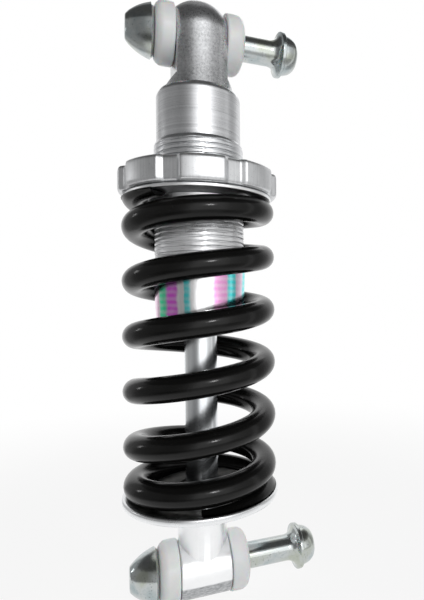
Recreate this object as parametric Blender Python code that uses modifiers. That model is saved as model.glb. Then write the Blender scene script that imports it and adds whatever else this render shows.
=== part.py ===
"""Coil-over rear shock for a bicycle, 165 mm between its eyes.

Origin at the centre of the upper eye, on the axis of its pivot bolt. +Z runs up along the
shock and +X along both pivot bolts, towards their heads. All lengths are in metres.
"""

import math

import bmesh
import bpy
from mathutils import Matrix, Vector

MM = 0.001

# Fits
SEAT_GAP = 0.2 * MM          # between faces that rest on each other
RUNNING_GAP = 0.15 * MM      # radial, where one piece turns or slides in another
SEAL_GAP = 0.12 * MM         # radial, where a seal or a ring rides on its surface
ROUND_SIDES = 40             # facets round a large turned piece
SMALL_SIDES = 28             # facets round a small one

# Length between the eyes, and the stroke
EYE_TO_EYE = 165 * MM
STROKE = 35 * MM

# Eyes
EYE_WIDTH = 15.2 * MM
EYE_BORE_R = 6.15 * MM
UPPER_EYE_R = 10.8 * MM
LOWER_EYE_R = 8.7 * MM

# Damper body, measured down from the upper eye
SHOULDER_TOP = 14.3 * MM
SHOULDER_BOTTOM = 19.8 * MM
TUBE_R = 12.9 * MM
THREAD_R = 13.7 * MM
THREAD_PITCH = 1.5 * MM
THREAD_START = 33.5 * MM
THREAD_END = 70.0 * MM
TUBE_END = 89.5 * MM
TUBE_CHAMFER = 0.6 * MM
BORE_R = 9.5 * MM
BORE_TOP = 20.5 * MM

# Foil label round the lower end of the tube
LABEL_TOP = 71.5 * MM
LABEL_LENGTH = 16.6 * MM
LABEL_THICKNESS = 0.35 * MM
LABEL_FLARE = 0.75 * MM

# Preload collar and the ring that centres the spring under it
COLLAR_R = 24.2 * MM
COLLAR_TOP = 42.4 * MM
COLLAR_HEIGHT = 7.4 * MM
COLLAR_EDGE = 1.3 * MM
NOTCH_COUNT = 8
NOTCH_WIDTH = 5.6 * MM
NOTCH_DEPTH = 1.4 * MM
NOTCH_START_DEG = 15
GUIDE_R = 22.4 * MM
GUIDE_THICKNESS = 1.0 * MM
GUIDE_WALL = 1.05 * MM
GUIDE_HEIGHT = 3.3 * MM

# Coil spring
WIRE_D = 7.5 * MM
COIL_MEAN_R = 19.5 * MM
COIL_TURNS = 6.9
COIL_POINTS = 10
CLOSED_GAP = 0.45 * MM
TOP_TIP_THICKNESS = 1.7 * MM
BOTTOM_TIP_THICKNESS = 0.6 * MM
CLOSED_TURNS_TOP = 0.617
CLOSED_TURNS_BOTTOM = 0.975
EASE_TURNS = 0.7
COIL_TIP_DEG = -10

# Lower spring seat
SEAT_R = 23.7 * MM
SEAT_THICKNESS = 2.2 * MM
SEAT_EDGE = 0.8 * MM
SEAT_PILOT_R = 14.6 * MM
SEAT_PILOT_HEIGHT = 1.4 * MM
SEAT_DROP = 24.4 * MM        # height of the seat's top face above the lower eye's axis
SPIGOT_R = 6.8 * MM

# Lower eye
EYE_SHOULDER_R = 9.6 * MM
EYE_SHOULDER_HEIGHT = 1.5 * MM
EYE_NECK_R = 7.5 * MM
EYE_NECK_FILLET = 2.1 * MM
ROD_THREAD_R = 4.0 * MM
ROD_THREAD_LENGTH = 10.0 * MM

# Damper shaft and what it carries
ROD_R = 5.0 * MM
ROD_SPIGOT_R = 3.0 * MM
ROD_TIP_PROUD = 0.4 * MM
SHIM_THICKNESS = 0.8 * MM
SHIM_R = 7.2 * MM
PISTON_R = 9.25 * MM
PISTON_HEIGHT = 6.5 * MM
PORT_COUNT = 6
PORT_R = 0.9 * MM
PORT_CIRCLE_R = 5.9 * MM
BAND_HEIGHT = 3.0 * MM
BAND_DEPTH = 0.95 * MM
NUT_FLATS = 10.0 * MM
NUT_HEIGHT = 4.4 * MM
TOP_OUT_THICKNESS = 2.5 * MM
TOP_OUT_R = 8.6 * MM
BOTTOM_OUT_THICKNESS = 4.3 * MM

# Seal head in the open end of the tube
CLIP_THICKNESS = 1.2 * MM
CLIP_DEPTH = 0.8 * MM
CLIP_WIDTH = 2.0 * MM
CLIP_INSET = 0.9 * MM        # wall left below the circlip's groove
CLIP_OPEN_DEG = 50
HEAD_HEIGHT = 9.0 * MM
POCKET_R = 7.6 * MM
POCKET_DEPTH = 2.7 * MM
BUSH_WALL = 1.15 * MM
O_RING_WIRE_R = 0.66 * MM
O_RING_SQUEEZE = 0.2 * MM

# Pivot hardware
BOLT_R = 4.0 * MM
FLANGE_R = 9.1 * MM
FLANGE_THICKNESS = 5.8 * MM
FLANGE_ROUND_X = 2.6 * MM
FLANGE_ROUND_R = 3.0 * MM
SLEEVE_WALL = 2.0 * MM
CAP_BASE_R = 7.9 * MM
CAP_LENGTH = 8.0 * MM
CAP_TIP_R = 3.4 * MM
CAP_CHAMFER = 0.7 * MM
CAP_THREAD_R = 3.0 * MM
CAP_THREAD_LENGTH = 5.0 * MM
UPPER_GRIP = 12.6 * MM       # bolt left bare between the right-hand bush and the head
LOWER_GRIP = 17.0 * MM
HEAD_FLANGE_R = 7.1 * MM
HEAD_FLANGE_THICKNESS = 1.3 * MM
HEAD_FLARE = 3.4 * MM
HEAD_DOME_R = 6.2 * MM
HEAD_DOME_LENGTH = 4.8 * MM
HEX_FLATS = 4.0 * MM
HEX_DEPTH = 2.6 * MM

# Heights worked out from the above, all as z in the shock's frame
LOWER_EYE_Z = -EYE_TO_EYE
SEAT_TOP_Z = LOWER_EYE_Z + SEAT_DROP
COLLAR_BOTTOM_Z = -(COLLAR_TOP + COLLAR_HEIGHT)
GUIDE_TOP_Z = COLLAR_BOTTOM_Z - SEAT_GAP
COIL_TOP_Z = GUIDE_TOP_Z - GUIDE_THICKNESS - SEAT_GAP
COIL_BOTTOM_Z = SEAT_TOP_Z + SEAT_GAP
CLIP_GROOVE_LOW_Z = -(TUBE_END - CLIP_INSET)
CLIP_GROOVE_TOP_Z = CLIP_GROOVE_LOW_Z + CLIP_THICKNESS + 2 * SEAT_GAP
HEAD_LOW_Z = CLIP_GROOVE_TOP_Z
HEAD_TOP_Z = HEAD_LOW_Z + HEAD_HEIGHT
TOP_OUT_LOW_Z = HEAD_TOP_Z + SEAT_GAP
ROD_SHOULDER_Z = TOP_OUT_LOW_Z + TOP_OUT_THICKNESS + SEAT_GAP
REBOUND_SHIMS_Z = ROD_SHOULDER_Z + SEAT_GAP
PISTON_LOW_Z = REBOUND_SHIMS_Z + SHIM_THICKNESS + SEAT_GAP
COMPRESSION_SHIMS_Z = PISTON_LOW_Z + PISTON_HEIGHT + SEAT_GAP
NUT_LOW_Z = COMPRESSION_SHIMS_Z + SHIM_THICKNESS + SEAT_GAP
ROD_TIP_Z = NUT_LOW_Z + NUT_HEIGHT + ROD_TIP_PROUD
SEAT_LOW_Z = SEAT_TOP_Z - SEAT_THICKNESS
EYE_SHOULDER_Z = SEAT_LOW_Z - SEAT_GAP
SPIGOT_TOP_Z = SEAT_TOP_Z - 4 * SEAT_GAP
ROD_FOOT_Z = SPIGOT_TOP_Z + SEAT_GAP
BUSH_FACE_X = EYE_WIDTH / 2 + SEAT_GAP + FLANGE_THICKNESS


# Scene and materials

def clear_scene():
    for obj in list(bpy.data.objects):
        bpy.data.objects.remove(obj, do_unlink=True)


def new_collection(name, hidden=False):
    made = bpy.data.collections.new(name)
    bpy.context.scene.collection.children.link(made)
    made.hide_render = hidden
    return made


def make_material(name, colour, roughness, metallic):
    material = bpy.data.materials.new(name)
    material.use_nodes = True
    shader = material.node_tree.nodes["Principled BSDF"]
    shader.inputs["Base Color"].default_value = (*colour, 1)
    shader.inputs["Roughness"].default_value = roughness
    shader.inputs["Metallic"].default_value = metallic
    return material


def make_materials():
    recipes = {
        "turned_aluminium": ((0.72, 0.73, 0.74), 0.32, 1.0),
        "bright_aluminium": ((0.85, 0.86, 0.87), 0.28, 1.0),
        "chrome": ((0.82, 0.84, 0.85), 0.08, 1.0),
        "zinc_plate": ((0.62, 0.66, 0.67), 0.18, 1.0),
        "black_enamel": ((0.012, 0.012, 0.013), 0.25, 0.0),
        "white_nylon": ((0.86, 0.87, 0.88), 0.42, 0.0),
        "foil": ((0.86, 0.84, 0.88), 0.15, 1.0),
        "pressed_steel": ((0.80, 0.81, 0.82), 0.25, 1.0),
        "spring_steel": ((0.35, 0.36, 0.38), 0.35, 1.0),
        "bronze": ((0.60, 0.44, 0.24), 0.4, 1.0),
        "rubber": ((0.02, 0.02, 0.02), 0.7, 0.0),
        "polyurethane": ((0.35, 0.20, 0.05), 0.5, 0.0),
    }
    return {name: make_material(name, *recipe) for name, recipe in recipes.items()}


# Shapes

def smooth(obj):
    obj.data.shade_smooth()
    obj.data.set_sharp_from_angle(angle=math.radians(30))


def add_mesh(name, mesh, material=None, collection=None):
    obj = bpy.data.objects.new(name, mesh)
    (collection or PARTS).objects.link(obj)
    if material:
        mesh.materials.append(MATERIALS[material])
    return obj


def arc(centre, radii, start_deg, end_deg, steps):
    """Points on an elliptical arc in the (radius, height) plane, end points included."""
    points = []
    for i in range(steps + 1):
        angle = math.radians(start_deg + (end_deg - start_deg) * i / steps)
        points.append((centre[0] + radii[0] * math.cos(angle), centre[1] + radii[1] * math.sin(angle)))
    return points


def turned(name, profile, material=None, sides=ROUND_SIDES, closed=False, collection=None):
    """A profile of (radius, height) points, from the top down its outer side, turned round +Z.

    An open profile starts and ends on the axis, and a closed one is a ring.
    """
    mesh = bpy.data.meshes.new(name)
    points = [(radius, 0, height) for radius, height in profile]
    edges = [(i, i + 1) for i in range(len(points) - 1)]
    if closed:
        edges.append((len(points) - 1, 0))
    mesh.from_pydata(points, edges, [])
    obj = add_mesh(name, mesh, material, collection)
    screw = obj.modifiers.new("Turn", "SCREW")
    screw.axis = "Z"
    screw.steps = sides
    screw.render_steps = sides
    screw.use_merge_vertices = True
    screw.merge_threshold = 0.00001
    screw.use_smooth_shade = False
    return obj


def along_x(obj, x=0.0, z=0.0, flip=False):
    """Lays a turned piece on a pivot axis: its +Z becomes +X, or -X where flip is set."""
    quarter = -math.pi / 2 if flip else math.pi / 2
    obj.matrix_world = Matrix.Translation((x, 0, z)) @ Matrix.Rotation(quarter, 4, "Y")
    return obj


def baked(obj):
    """Replaces an object's modifiers and transform by the mesh that they give."""
    bpy.context.view_layer.update()
    graph = bpy.context.evaluated_depsgraph_get()
    mesh = bpy.data.meshes.new_from_object(obj.evaluated_get(graph), depsgraph=graph)
    mesh.transform(obj.matrix_world)
    old = obj.data
    obj.modifiers.clear()
    obj.data = mesh
    obj.matrix_world = Matrix.Identity(4)
    if isinstance(old, bpy.types.Mesh):
        bpy.data.meshes.remove(old)
    return obj


def hide_cutter(obj):
    obj.hide_render = True
    obj.display_type = "WIRE"
    return obj


def cut(obj, cutter, operation="DIFFERENCE"):
    modifier = obj.modifiers.new(f"{operation.title()} {cutter.name}", "BOOLEAN")
    modifier.operation = operation
    modifier.solver = "EXACT"
    modifier.object = cutter
    return obj


def cylinder_cutter(name, radius, length, matrix, sides=SMALL_SIDES):
    mesh = bpy.data.meshes.new(name)
    bm = bmesh.new()
    bmesh.ops.create_cone(
        bm, cap_ends=True, segments=sides, radius1=radius, radius2=radius, depth=length, matrix=matrix
    )
    bm.to_mesh(mesh)
    bm.free()
    return hide_cutter(add_mesh(name, mesh, collection=CUTTERS))


def box_cutter(name, size, matrix):
    mesh = bpy.data.meshes.new(name)
    bm = bmesh.new()
    bmesh.ops.create_cube(bm, size=1, matrix=matrix @ Matrix.Diagonal((*size, 1)))
    bm.to_mesh(mesh)
    bm.free()
    return hide_cutter(add_mesh(name, mesh, collection=CUTTERS))


def outline_prism(name, outline, depth, matrix, material=None, collection=None):
    """A flat closed outline, extruded by depth about its own plane and set in place."""
    curve = bpy.data.curves.new(name, "CURVE")
    curve.dimensions = "2D"
    curve.fill_mode = "BOTH"
    curve.extrude = depth / 2
    spline = curve.splines.new("POLY")
    spline.points.add(len(outline) - 1)
    for point, (x, y) in zip(spline.points, outline):
        point.co = (x, y, 0, 1)
    spline.use_cyclic_u = True
    obj = bpy.data.objects.new(name, curve)
    (collection or PARTS).objects.link(obj)
    obj.matrix_world = matrix
    bpy.context.view_layer.update()
    graph = bpy.context.evaluated_depsgraph_get()
    mesh = bpy.data.meshes.new_from_object(obj.evaluated_get(graph), depsgraph=graph)
    mesh.transform(matrix)
    bm = bmesh.new()
    bm.from_mesh(mesh)
    bmesh.ops.remove_doubles(bm, verts=bm.verts, dist=0.000001)
    bmesh.ops.recalc_face_normals(bm, faces=bm.faces)
    bm.to_mesh(mesh)
    bm.free()
    bpy.data.objects.remove(obj)
    bpy.data.curves.remove(curve)
    return add_mesh(name, mesh, material, collection)


def pivot_empty(name, location):
    empty = bpy.data.objects.new(name, None)
    empty.empty_display_size = 0.01
    empty.location = location
    PARTS.objects.link(empty)
    return empty


def carry(empty, *objects):
    """Parents pieces to the empty on their joint's axis, without moving them."""
    bpy.context.view_layer.update()
    for obj in objects:
        placed = obj.matrix_world.copy()
        obj.parent = empty
        obj.matrix_parent_inverse = empty.matrix_world.inverted()
        obj.matrix_world = placed


# Damper body: eye, shoulder and threaded tube in one piece

def shoulder_half_width():
    """Radius at which the milled flats of the eye meet the shoulder's cone."""
    return EYE_WIDTH / 2


def damper_body():
    bar_end = -(SHOULDER_TOP + UPPER_EYE_R - shoulder_half_width())
    profile = arc((0, 0), (UPPER_EYE_R, UPPER_EYE_R), 90, 0, 10)
    profile += [(UPPER_EYE_R, bar_end)]
    drop = -SHOULDER_BOTTOM - bar_end
    profile += arc((UPPER_EYE_R, -SHOULDER_BOTTOM), (TUBE_R - UPPER_EYE_R, -drop), 60, 0, 4)
    profile += [
        (TUBE_R, -THREAD_START),
        (THREAD_R, -THREAD_START - THREAD_R + TUBE_R),
        (THREAD_R, -THREAD_END),
        (TUBE_R, -THREAD_END - THREAD_R + TUBE_R),
        (TUBE_R, -TUBE_END + TUBE_CHAMFER),
        (TUBE_R - TUBE_CHAMFER, -TUBE_END),
        (BORE_R, -TUBE_END),
        (BORE_R, CLIP_GROOVE_LOW_Z),
        (BORE_R + CLIP_DEPTH, CLIP_GROOVE_LOW_Z),
        (BORE_R + CLIP_DEPTH, CLIP_GROOVE_TOP_Z),
        (BORE_R, CLIP_GROOVE_TOP_Z),
        (BORE_R, -BORE_TOP),
        (0, -BORE_TOP),
    ]
    body = turned("damper_body", profile, "turned_aluminium")
    half = EYE_WIDTH / 2
    reach = 3 * TUBE_R
    flat = [
        (half, UPPER_EYE_R * 2),
        (half, -SHOULDER_TOP),
        (half + reach, -SHOULDER_TOP - reach),
        (half + reach, UPPER_EYE_R * 2),
    ]
    upright = Matrix.Rotation(math.pi / 2, 4, "X")
    for side, mirror in (("right", 1), ("left", -1)):
        outline = [(x * mirror, z) for x, z in flat]
        cutter = outline_prism(f"eye_flat_{side}", outline, 4 * TUBE_R, upright, collection=CUTTERS)
        cut(body, hide_cutter(cutter))
    cut(body, eye_bore_cutter("upper_eye_bore", 0))
    return body


def eye_bore_cutter(name, z):
    matrix = Matrix.Translation((0, 0, z)) @ Matrix.Rotation(math.pi / 2, 4, "Y")
    return cylinder_cutter(name, EYE_BORE_R, 4 * EYE_WIDTH, matrix)


def foil_label():
    low = -(LABEL_TOP + LABEL_LENGTH)
    inner_low = TUBE_R + RUNNING_GAP
    inner_top = inner_low + LABEL_FLARE
    profile = [
        (inner_top + LABEL_THICKNESS, -LABEL_TOP),
        (inner_low + LABEL_THICKNESS, low),
        (inner_low, low),
        (inner_top, -LABEL_TOP),
    ]
    return turned("foil_label", profile, "foil", closed=True)


# Preload collar and guide ring

def preload_collar():
    top = -COLLAR_TOP
    low = COLLAR_BOTTOM_Z
    bore = THREAD_R + RUNNING_GAP
    edge = COLLAR_EDGE
    profile = [(bore + edge / 2, top)]
    profile += arc((COLLAR_R - edge, top - edge), (edge, edge), 90, 0, 3)
    profile += arc((COLLAR_R - edge, low + edge), (edge, edge), 0, -90, 3)
    profile += [(bore + edge / 2, low), (bore, low + edge / 2), (bore, top - edge / 2)]
    collar = baked(turned("preload_collar", profile, "turned_aluminium", closed=True))
    for i in range(NOTCH_COUNT):
        angle = math.radians(NOTCH_START_DEG + 360 * i / NOTCH_COUNT)
        outward = Vector((math.sin(angle), -math.cos(angle), 0))
        place = Matrix.Translation(outward * (COLLAR_R + NOTCH_DEPTH)) @ Matrix.Rotation(angle, 4, "Z")
        place = Matrix.Translation((0, 0, (top + low) / 2)) @ place
        size = (NOTCH_WIDTH, 4 * NOTCH_DEPTH, 2 * COLLAR_HEIGHT)
        cut(collar, box_cutter(f"collar_notch_{i}", size, place))
    return collar


def guide_ring():
    bore = THREAD_R + RUNNING_GAP
    collar_face = GUIDE_TOP_Z
    under = collar_face - GUIDE_THICKNESS
    foot = collar_face - GUIDE_THICKNESS - GUIDE_HEIGHT
    spigot = bore + GUIDE_WALL
    chamfer = GUIDE_WALL / 3
    profile = [
        (bore, collar_face),
        (GUIDE_R, collar_face),
        (GUIDE_R, under),
        (spigot, under),
        (spigot, foot + chamfer),
        (spigot - chamfer, foot),
        (bore, foot),
    ]
    return turned("spring_guide_ring", profile, "bright_aluminium", closed=True)


# Coil spring: closed at both ends and ground flat there

def coil_heights():
    """Height of the wire's centre line at each point, from the bottom tip up.

    The closed ends climb by one wire and a small gap a turn, the free turns climb faster, and
    the climb eases from one to the other. The free climb follows from the length between the
    seats.
    """
    closed_climb = WIRE_D + CLOSED_GAP
    low = COIL_BOTTOM_Z - WIRE_D / 2 + BOTTOM_TIP_THICKNESS
    high = COIL_TOP_Z + WIRE_D / 2 - TOP_TIP_THICKNESS
    free_turns = COIL_TURNS - CLOSED_TURNS_TOP - CLOSED_TURNS_BOTTOM - EASE_TURNS
    extra_climb = (high - low - closed_climb * COIL_TURNS) / free_turns

    def eased(turn):
        """Area under a slope that rises smoothly from 0 to 1 over one easing length."""
        share = min(max(turn / EASE_TURNS, 0), 1)
        return EASE_TURNS * (share ** 3 - share ** 4 / 2) + max(turn - EASE_TURNS, 0)

    steps = round(COIL_TURNS * COIL_POINTS)
    heights = []
    for i in range(steps + 1):
        turn = COIL_TURNS * i / steps
        rise = eased(turn - CLOSED_TURNS_BOTTOM)
        rise -= eased(turn - (COIL_TURNS - CLOSED_TURNS_TOP - EASE_TURNS))
        heights.append(low + closed_climb * turn + extra_climb * rise)
    return heights


def coil_points():
    heights = coil_heights()
    steps = len(heights) - 1
    half_step = math.pi * COIL_TURNS / steps
    # Corners stand out and the runs between them lie in, so that the mean radius holds.
    corner_r = COIL_MEAN_R * 2 / (1 + math.cos(half_step))
    points = []
    for i, height in enumerate(heights):
        angle = math.radians(COIL_TIP_DEG) + 2 * math.pi * COIL_TURNS * i / steps
        points.append(Vector((corner_r * math.sin(angle), -corner_r * math.cos(angle), height)))
    return points


def least_gap(points):
    """Least clear space between any two turns, measured between runs most of a turn apart."""
    between = 8
    fine = []
    for a, b in zip(points, points[1:]):
        fine += [a.lerp(b, k / between) for k in range(between)]
    fine.append(points[-1])
    apart = round(COIL_POINTS * between * 0.6)
    least = min(
        (p - q).length for i, p in enumerate(fine) for q in fine[i + apart:i + 3 * apart]
    )
    return least - WIRE_D


def coil_spring():
    points = coil_points()
    print(f"coil spring: least gap between turns {least_gap(points) / MM:.2f} mm")
    curve = bpy.data.curves.new("coil_spring", "CURVE")
    curve.dimensions = "3D"
    curve.bevel_depth = WIRE_D / 2
    curve.bevel_resolution = 1
    curve.use_fill_caps = True
    curve.twist_mode = "Z_UP"
    spline = curve.splines.new("POLY")
    spline.points.add(len(points) - 1)
    for point, place in zip(spline.points, points):
        point.co = (*place, 1)
    wire = bpy.data.objects.new("coil_wire", curve)
    PARTS.objects.link(wire)
    bpy.context.view_layer.update()
    graph = bpy.context.evaluated_depsgraph_get()
    mesh = bpy.data.meshes.new_from_object(wire.evaluated_get(graph), depsgraph=graph)
    bm = bmesh.new()
    bm.from_mesh(mesh)
    bmesh.ops.remove_doubles(bm, verts=bm.verts, dist=0.000001)
    bmesh.ops.recalc_face_normals(bm, faces=bm.faces)
    bm.to_mesh(mesh)
    bm.free()
    bpy.data.objects.remove(wire)
    bpy.data.curves.remove(curve)
    spring = add_mesh("coil_spring", mesh, "black_enamel")
    spring.matrix_world = Matrix.Identity(4)
    depth = 2 * WIRE_D
    size = (4 * COIL_MEAN_R, 4 * COIL_MEAN_R, depth)
    above = Matrix.Translation((0, 0, COIL_TOP_Z + depth / 2))
    below = Matrix.Translation((0, 0, COIL_BOTTOM_Z - depth / 2))
    cut(spring, box_cutter("coil_ground_top", size, above))
    cut(spring, box_cutter("coil_ground_bottom", size, below))
    return spring


# Lower spring seat and lower eye

def lower_spring_seat():
    hole = SPIGOT_R + RUNNING_GAP
    edge = SEAT_EDGE
    pilot_top = SEAT_TOP_Z + SEAT_PILOT_HEIGHT
    profile = [
        (hole, pilot_top),
        (SEAT_PILOT_R - edge, pilot_top),
        (SEAT_PILOT_R, pilot_top - edge),
        (SEAT_PILOT_R, SEAT_TOP_Z),
    ]
    profile += arc((SEAT_R - edge, SEAT_TOP_Z - edge), (edge, edge), 90, 0, 3)
    profile += arc((SEAT_R - edge, SEAT_LOW_Z + edge), (edge, edge), 0, -90, 3)
    profile += [(hole, SEAT_LOW_Z)]
    return turned("lower_spring_seat", profile, "pressed_steel", closed=True)


def lower_eye():
    fillet = EYE_NECK_FILLET
    shoulder_low = EYE_SHOULDER_Z - EYE_SHOULDER_HEIGHT
    thread_hole = ROD_THREAD_R + RUNNING_GAP
    thread_low = ROD_FOOT_Z - ROD_THREAD_LENGTH - 4 * SEAT_GAP
    neck_end = LOWER_EYE_Z
    profile = [
        (thread_hole, SPIGOT_TOP_Z),
        (SPIGOT_R, SPIGOT_TOP_Z),
        (SPIGOT_R, EYE_SHOULDER_Z),
        (EYE_SHOULDER_R, EYE_SHOULDER_Z),
        (EYE_SHOULDER_R, shoulder_low),
    ]
    profile += arc((EYE_NECK_R + fillet, shoulder_low - fillet), (fillet, fillet), 90, 180, 4)
    profile += [(EYE_NECK_R, neck_end), (0, neck_end), (0, thread_low), (thread_hole, thread_low)]
    # The profile meets the axis between its last points, so it is turned as an open one.
    start = profile.index((0, thread_low))
    outer = [(0, SPIGOT_TOP_Z)] + profile[1:start]
    neck = turned("lower_eye", outer, "bright_aluminium")
    barrel = turned(
        "lower_eye_barrel", eye_barrel_profile(), sides=ROUND_SIDES, collection=CUTTERS
    )
    cut(neck, hide_cutter(along_x(barrel, z=LOWER_EYE_Z)), "UNION")
    depth = SPIGOT_TOP_Z - thread_low
    hole = Matrix.Translation((0, 0, SPIGOT_TOP_Z + depth / 2 - depth / 2))
    cut(neck, cylinder_cutter("rod_thread_hole", thread_hole, 2 * depth, hole))
    cut(neck, eye_bore_cutter("lower_eye_bore", LOWER_EYE_Z))
    return neck


def eye_barrel_profile():
    half = EYE_WIDTH / 2
    edge = 0.5 * MM
    return [
        (0, half),
        (LOWER_EYE_R - edge, half),
        (LOWER_EYE_R, half - edge),
        (LOWER_EYE_R, -half + edge),
        (LOWER_EYE_R - edge, -half),
        (0, -half),
    ]


# Damper shaft, piston and shims

def piston_rod():
    foot_thread = ROD_FOOT_Z - ROD_THREAD_LENGTH
    lead = 0.4 * MM
    profile = [
        (0, ROD_TIP_Z),
        (ROD_SPIGOT_R - lead, ROD_TIP_Z),
        (ROD_SPIGOT_R, ROD_TIP_Z - lead),
        (ROD_SPIGOT_R, ROD_SHOULDER_Z),
        (ROD_R - lead, ROD_SHOULDER_Z),
        (ROD_R, ROD_SHOULDER_Z - lead),
        (ROD_R, ROD_FOOT_Z),
        (ROD_THREAD_R, ROD_FOOT_Z),
        (ROD_THREAD_R, foot_thread + lead),
        (ROD_THREAD_R - lead, foot_thread),
        (0, foot_thread),
    ]
    return turned("piston_rod", profile, "chrome", sides=SMALL_SIDES)


def shim_stack(name, low, widest_below):
    """Three thin discs of falling radius, the widest against the piston."""
    hole = ROD_SPIGOT_R + RUNNING_GAP
    radii = [SHIM_R * share for share in (0.7, 0.85, 1.0)]
    if widest_below:
        radii.reverse()
    leaf = SHIM_THICKNESS / len(radii)
    profile = [(hole, low + SHIM_THICKNESS)]
    for i, radius in enumerate(reversed(radii)):
        top = low + SHIM_THICKNESS - i * leaf
        profile += [(radius, top), (radius, top - leaf)]
    profile += [(hole, low)]
    return turned(name, profile, "spring_steel", sides=SMALL_SIDES, closed=True)


def piston():
    hole = ROD_SPIGOT_R + RUNNING_GAP
    top = PISTON_LOW_Z + PISTON_HEIGHT
    middle = PISTON_LOW_Z + PISTON_HEIGHT / 2
    half_groove = BAND_HEIGHT / 2 + SEAT_GAP
    groove_r = PISTON_R - BAND_DEPTH
    lead = 0.4 * MM
    profile = [
        (hole, top),
        (PISTON_R - lead, top),
        (PISTON_R, top - lead),
        (PISTON_R, middle + half_groove),
        (groove_r, middle + half_groove),
        (groove_r, middle - half_groove),
        (PISTON_R, middle - half_groove),
        (PISTON_R, PISTON_LOW_Z + lead),
        (PISTON_R - lead, PISTON_LOW_Z),
        (hole, PISTON_LOW_Z),
    ]
    body = baked(turned("piston", profile, "bright_aluminium", sides=SMALL_SIDES, closed=True))
    for i in range(PORT_COUNT):
        angle = 2 * math.pi * i / PORT_COUNT
        place = (PORT_CIRCLE_R * math.cos(angle), PORT_CIRCLE_R * math.sin(angle), middle)
        port = cylinder_cutter(
            f"piston_port_{i}", PORT_R, 2 * PISTON_HEIGHT, Matrix.Translation(place), sides=10
        )
        cut(body, port)
    return body


def piston_band():
    middle = PISTON_LOW_Z + PISTON_HEIGHT / 2
    inner = PISTON_R - BAND_DEPTH + RUNNING_GAP
    outer = BORE_R - SEAL_GAP
    top = middle + BAND_HEIGHT / 2
    low = middle - BAND_HEIGHT / 2
    profile = [(inner, top), (outer, top), (outer, low), (inner, low)]
    return turned("piston_band", profile, "bronze", sides=SMALL_SIDES, closed=True)


def piston_nut():
    corner = NUT_FLATS / 2 / math.cos(math.pi / 6)
    outline = [
        (corner * math.cos(math.pi * k / 3), corner * math.sin(math.pi * k / 3)) for k in range(6)
    ]
    middle = Matrix.Translation((0, 0, NUT_LOW_Z + NUT_HEIGHT / 2))
    nut = outline_prism("piston_nut", outline, NUT_HEIGHT, middle, "zinc_plate")
    hole = ROD_SPIGOT_R + RUNNING_GAP
    return cut(nut, cylinder_cutter("piston_nut_hole", hole, 2 * NUT_HEIGHT, middle))


def washer(name, inner, outer, low, thickness, material, edge):
    top = low + thickness
    profile = [(inner, top), (outer - edge, top), (outer, top - edge), (outer, low + edge)]
    profile += [(outer - edge, low), (inner, low)]
    return turned(name, profile, material, sides=SMALL_SIDES, closed=True)


def bottom_out_bumper():
    top = -(BORE_TOP + SEAT_GAP)
    low = top - BOTTOM_OUT_THICKNESS
    outer = BORE_R - RUNNING_GAP
    edge = 0.6 * MM
    dish_r = outer / 2
    profile = [(0, top), (outer, top), (outer, low + edge), (outer - edge, low)]
    profile += [(dish_r + edge, low), (dish_r, low + edge), (0, low + edge)]
    return turned("bottom_out_bumper", profile, "polyurethane", sides=SMALL_SIDES)


# Seal head and what it holds

def head_bush_bore():
    return ROD_R + SEAL_GAP + BUSH_WALL + SEAT_GAP


def o_ring_groove():
    """Middle height, half width and floor radius of the groove round the seal head."""
    outer = BORE_R - RUNNING_GAP
    floor = outer - 2 * O_RING_WIRE_R - O_RING_SQUEEZE
    return HEAD_LOW_Z + HEAD_HEIGHT / 2, O_RING_WIRE_R + O_RING_SQUEEZE, floor


def seal_head():
    outer = BORE_R - RUNNING_GAP
    middle, half, floor = o_ring_groove()
    bore = head_bush_bore()
    profile = [
        (POCKET_R, HEAD_TOP_Z),
        (outer, HEAD_TOP_Z),
        (outer, middle + half),
        (floor, middle + half),
        (floor, middle - half),
        (outer, middle - half),
        (outer, HEAD_LOW_Z),
        (POCKET_R, HEAD_LOW_Z),
        (POCKET_R, HEAD_LOW_Z + POCKET_DEPTH),
        (bore, HEAD_LOW_Z + POCKET_DEPTH),
        (bore, HEAD_TOP_Z - POCKET_DEPTH),
        (POCKET_R, HEAD_TOP_Z - POCKET_DEPTH),
    ]
    return turned("seal_head", profile, "bright_aluminium", sides=SMALL_SIDES, closed=True)


def seal_head_o_ring():
    middle, _, _ = o_ring_groove()
    ring_r = BORE_R - RUNNING_GAP - O_RING_SQUEEZE / 2 - O_RING_WIRE_R
    profile = arc((ring_r, middle), (O_RING_WIRE_R, O_RING_WIRE_R), 90, -225, 7)
    return turned("seal_head_o_ring", profile, "rubber", sides=SMALL_SIDES, closed=True)


def guide_bush():
    low = HEAD_LOW_Z + POCKET_DEPTH
    top = HEAD_TOP_Z - POCKET_DEPTH
    inner = ROD_R + SEAL_GAP
    profile = [(inner, top), (inner + BUSH_WALL, top), (inner + BUSH_WALL, low), (inner, low)]
    return turned("guide_bush", profile, "bronze", sides=SMALL_SIDES, closed=True)


def lip_ring(name, low, height, lip_up, material):
    """A ring in a pocket of the seal head, with a tapered lip that rides on the shaft."""
    outer = POCKET_R - SEAT_GAP
    inner = ROD_R + SEAL_GAP
    relief = inner + 0.9 * MM
    top = low + height
    middle = low + height / 2
    if lip_up:
        profile = [(inner, top), (inner + 0.4 * MM, top), (relief, middle), (outer, top)]
        profile += [(outer, low), (inner, low)]
    else:
        profile = [(inner, top), (outer, top), (outer, low), (relief, middle)]
        profile += [(inner + 0.4 * MM, low), (inner, low)]
    return turned(name, profile, material, sides=SMALL_SIDES, closed=True)


def shaft_seal():
    low = HEAD_TOP_Z - POCKET_DEPTH + SEAT_GAP
    return lip_ring("shaft_seal", low, POCKET_DEPTH - 2 * SEAT_GAP, True, "rubber")


def dust_wiper():
    low = HEAD_LOW_Z + SEAT_GAP
    return lip_ring("dust_wiper", low, POCKET_DEPTH - 2 * SEAT_GAP, False, "polyurethane")


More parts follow.
